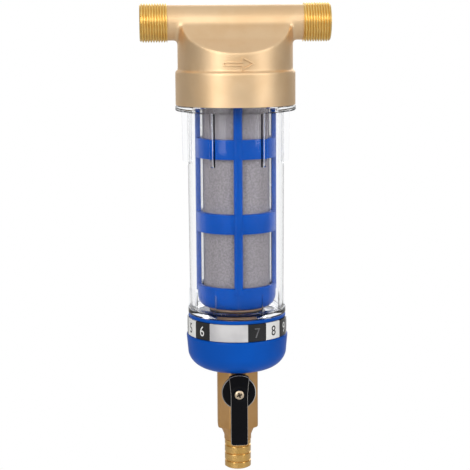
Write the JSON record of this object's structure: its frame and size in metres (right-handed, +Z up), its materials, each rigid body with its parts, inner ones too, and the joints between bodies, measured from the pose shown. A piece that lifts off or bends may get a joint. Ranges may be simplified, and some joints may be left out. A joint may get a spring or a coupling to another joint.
{
  "type": "water prefilter",
  "caption": "In-line water prefilter: brass head with threaded pipe ends, clear bowl, mesh element in a turning wiper cage, month ring and drain ball valve.",
  "frame": {"origin": "where the centreline of the pipe run meets the centreline of the filter", "axes": "+Z up along the filter, +X along the pipe in the direction of flow, -Y the front with the drain lever"},
  "size_m": [0.13, 0.0828, 0.3273],
  "materials": {
    "blasted_brass": "sand-blasted casting",
    "machined_brass": "turned, bright",
    "clear_plastic": "clear, polished",
    "blue_plastic": "moulded, satin gloss",
    "white_plastic": "moulded",
    "ring_plastic": "clear ring with printed month cells",
    "steel_mesh": "woven wire",
    "stainless_steel": "bright",
    "rubber": "smooth",
    "white_silicone": "smooth, translucent white",
    "black_enamel": "gloss black"
  },
  "bodies": {
    "filter_body": {"head_casting": "blasted_brass", "bowl": "clear_plastic", "bowl_seal": "rubber", "mesh_core": "white_plastic", "mesh_sleeve": "steel_mesh", "element_cap": "white_plastic", "element_seal": "rubber", "floor_bushing": "machined_brass", "bushing_gasket": "rubber", "bushing_nut": "machined_brass"},
    "turning_unit": {"wiper_cage": "blue_plastic", "wiper_blade_1": "white_silicone", "wiper_blade_2": "white_silicone", "wiper_blade_3": "white_silicone", "wiper_blade_4": "white_silicone", "drain_tube": "machined_brass", "tube_seal_1": "rubber", "tube_seal_2": "rubber", "tube_clip": "stainless_steel", "bottom_cup": "blue_plastic", "rim_ring": "blue_plastic", "valve_body": "blasted_brass", "valve_adapter": "machined_brass", "upper_ball_seat": "white_plastic", "lower_ball_seat": "white_plastic", "stem_seal": "rubber", "hose_tail": "machined_brass"},
    "month_ring_unit": {"month_ring": "ring_plastic"},
    "lever_unit": {"valve_ball": "machined_brass", "valve_stem": "machined_brass", "drain_lever": "black_enamel", "lever_screw": "stainless_steel"}
  },
  "joints": [
    {"name": "wiper_turn", "type": "hinge", "parent": "filter_body", "child": "turning_unit", "pos_m": [0, 0, -0.1957], "axis": [0, 0, 1], "continuous": true},
    {"name": "month_ring_turn", "type": "hinge", "parent": "turning_unit", "child": "month_ring_unit", "pos_m": [0, 0, -0.2097], "axis": [0, 0, 1], "continuous": true},
    {"name": "drain_lever_turn", "type": "hinge", "parent": "turning_unit", "child": "lever_unit", "pos_m": [0, 0, -0.25501], "axis": [0, 1, 0], "range_deg": [0, 90]}
  ]
}
